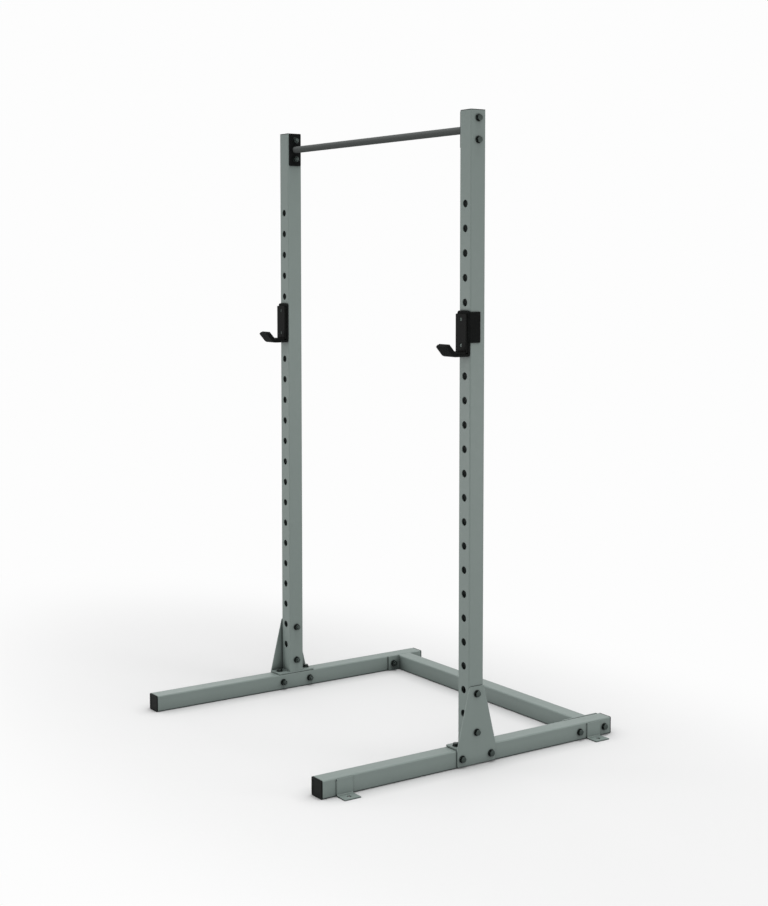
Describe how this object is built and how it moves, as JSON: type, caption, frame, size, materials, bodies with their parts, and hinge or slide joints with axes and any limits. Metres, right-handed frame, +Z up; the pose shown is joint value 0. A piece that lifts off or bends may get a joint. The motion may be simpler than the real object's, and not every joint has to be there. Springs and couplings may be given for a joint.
{
  "type": "quarter rack",
  "caption": "Free-standing quarter rack: perforated square-tube uprights bolted to long feet, tied by a rear cross member and a pull-up bar, with pin-in bar cradles.",
  "frame": {"origin": "on the floor, midway between the two uprights and level with their centre lines", "axes": "+Z up, X along the pull-up bar, -Y out of the front, where the bar cradles and the open ends of the feet are"},
  "size_m": [1.3, 1.2086, 2.1523],
  "materials": {
    "sage_powder_coat": "satin grey-green powder coat on steel",
    "black_powder_coat": "fine-textured black powder coat on steel",
    "blackened_steel": "black zinc-plated fasteners",
    "black_polythene": "moulded black polythene caps",
    "black_wear_plastic": "black high-density polythene wear liner"
  },
  "bodies": {
    "frame": {"rear_cross_member": "sage_powder_coat", "pull_up_bar": "black_powder_coat", "upright_left": "sage_powder_coat", "gusset_plate_left": "sage_powder_coat", "foot_left": "sage_powder_coat", "floor_tab_left_front": "sage_powder_coat", "floor_tab_left_rear": "sage_powder_coat", "upright_cap_left": "black_polythene", "foot_cap_left_front": "black_polythene", "foot_cap_left_rear": "black_polythene", "bar_bolt_left_upper": "blackened_steel", "bar_nut_left_upper": "blackened_steel", "upright_bolt_left_upper": "blackened_steel", "upright_nut_left_upper": "blackened_steel", "bar_bolt_left_lower": "blackened_steel", "bar_nut_left_lower": "blackened_steel", "upright_bolt_left_lower": "blackened_steel", "upright_nut_left_lower": "blackened_steel", "foot_bolt_left_front": "blackened_steel", "foot_nut_left_front": "blackened_steel", "cross_bolt_left_front": "blackened_steel", "cross_nut_left_front": "blackened_steel", "base_bolt_left_front": "blackened_steel", "foot_bolt_left_rear": "blackened_steel", "foot_nut_left_rear": "blackened_steel", "cross_bolt_left_rear": "blackened_steel", "cross_nut_left_rear": "blackened_steel", "base_bolt_left_rear": "blackened_steel", "upright_right": "sage_powder_coat", "gusset_plate_right": "sage_powder_coat", "foot_right": "sage_powder_coat", "floor_tab_right_front": "sage_powder_coat", "floor_tab_right_rear": "sage_powder_coat", "upright_cap_right": "black_polythene", "foot_cap_right_front": "black_polythene", "foot_cap_right_rear": "black_polythene", "bar_bolt_right_upper": "blackened_steel", "bar_nut_right_upper": "blackened_steel", "upright_bolt_right_upper": "blackened_steel", "upright_nut_right_upper": "blackened_steel", "bar_bolt_right_lower": "blackened_steel", "bar_nut_right_lower": "blackened_steel", "upright_bolt_right_lower": "blackened_steel", "upright_nut_right_lower": "blackened_steel", "foot_bolt_right_front": "blackened_steel", "foot_nut_right_front": "blackened_steel", "cross_bolt_right_front": "blackened_steel", "cross_nut_right_front": "blackened_steel", "base_bolt_right_front": "blackened_steel", "foot_bolt_right_rear": "blackened_steel", "foot_nut_right_rear": "blackened_steel", "cross_bolt_right_rear": "blackened_steel", "cross_nut_right_rear": "blackened_steel", "base_bolt_right_rear": "blackened_steel"},
    "j_cup_left": {"j_cup_hook_left": "black_powder_coat", "j_cup_back_liner_left": "black_wear_plastic", "j_cup_tray_liner_left": "black_wear_plastic"},
    "j_cup_right": {"j_cup_hook_right": "black_powder_coat", "j_cup_back_liner_right": "black_wear_plastic", "j_cup_tray_liner_right": "black_wear_plastic"}
  },
  "joints": [
    {"name": "j_cup_left_pull", "type": "slide", "parent": "frame", "child": "j_cup_left", "axis": [0, -1, 0], "range_m": [0, 0.05]},
    {"name": "j_cup_right_pull", "type": "slide", "parent": "frame", "child": "j_cup_right", "axis": [0, -1, 0], "range_m": [0, 0.05]}
  ]
}
